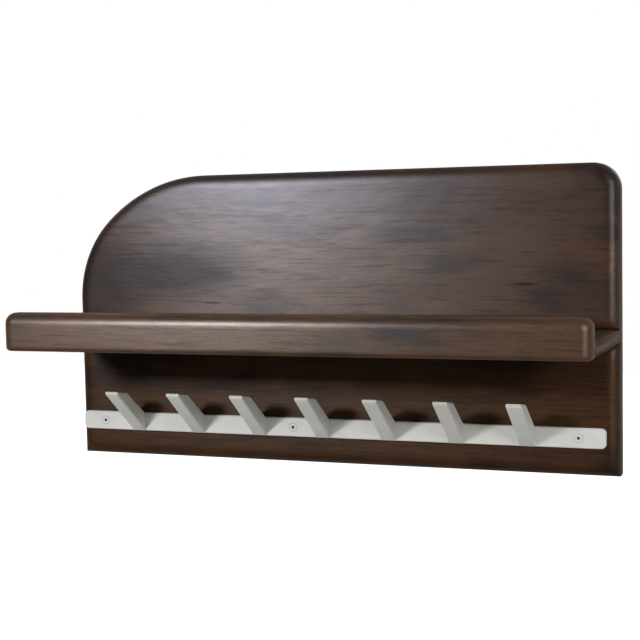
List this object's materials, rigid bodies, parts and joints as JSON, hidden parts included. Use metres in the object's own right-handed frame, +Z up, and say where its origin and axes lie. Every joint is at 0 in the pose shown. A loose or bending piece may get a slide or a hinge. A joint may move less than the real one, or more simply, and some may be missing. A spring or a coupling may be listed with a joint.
{
  "type": "wall shelf with hook rail",
  "caption": "Dark wooden wall shelf with a raised front lip and a tall back swept down at one end, over a white metal rail of slanted flat-fronted hooks.",
  "frame": {"origin": "middle of the back's rear face, on the wall", "axes": "+X to the right seen from the room, +Y into the wall, +Z up"},
  "size_m": [0.6, 0.178, 0.308],
  "materials": {
    "stained_wood": "dark walnut stain under satin lacquer",
    "plain_wood": "bare beech",
    "white_paint": "satin white powder coat",
    "zinc_steel": "bright zinc plate"
  },
  "bodies": {
    "root": {"upper_back_panel": "stained_wood", "lower_back_panel": "stained_wood", "shelf_board": "stained_wood", "shelf_lip": "stained_wood", "hook_rail": "white_paint", "rail_screws": "white_paint", "hanger_left": "zinc_steel", "hanger_right": "zinc_steel", "hanger_screws": "zinc_steel", "back_dowels": "plain_wood", "lip_dowels": "plain_wood", "hook_1": "white_paint", "hook_2": "white_paint", "hook_3": "white_paint", "hook_4": "white_paint", "hook_5": "white_paint", "hook_6": "white_paint", "hook_7": "white_paint"}
  },
  "joints": []
}
